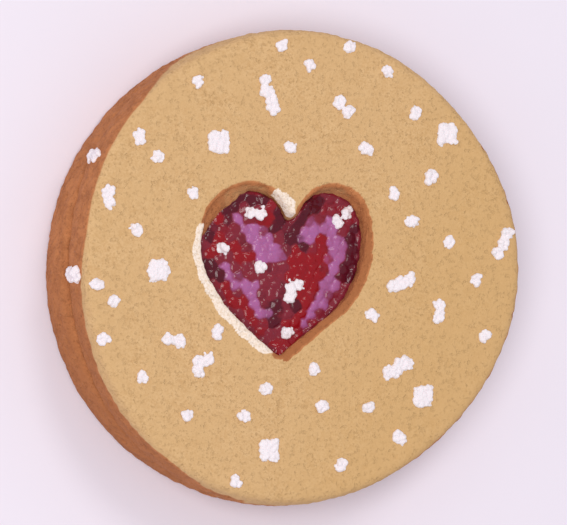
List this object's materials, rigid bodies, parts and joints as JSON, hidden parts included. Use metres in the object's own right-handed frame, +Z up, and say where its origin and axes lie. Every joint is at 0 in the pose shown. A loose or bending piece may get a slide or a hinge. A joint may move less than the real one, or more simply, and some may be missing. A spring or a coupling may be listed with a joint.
{
  "type": "linzer cookie",
  "caption": "Round sandwich cookie with berry jam between its biscuits, which shows through a heart-shaped window in the top one.",
  "frame": {"origin": "middle of the lower biscuit's flat underside, on the surface that the cookie rests on", "axes": "+Z up through both biscuits, +Y from the heart's tip towards its lobes, +X to the right of the heart seen from above"},
  "size_m": [0.071, 0.0701, 0.0147],
  "materials": {
    "pale_crust": "matte, fine-grained baked crust, pale tan, browner where it was cut",
    "brown_crust": "matte, fine-grained baked crust, toasted brown",
    "berry_jam": "glossy, lumpy set jam, deep red with bright red and purple streaks",
    "sugar": "matte white sugar"
  },
  "bodies": {
    "root": {"lower_biscuit": "brown_crust", "jam": "berry_jam", "upper_biscuit": "pale_crust"}
  },
  "joints": []
}
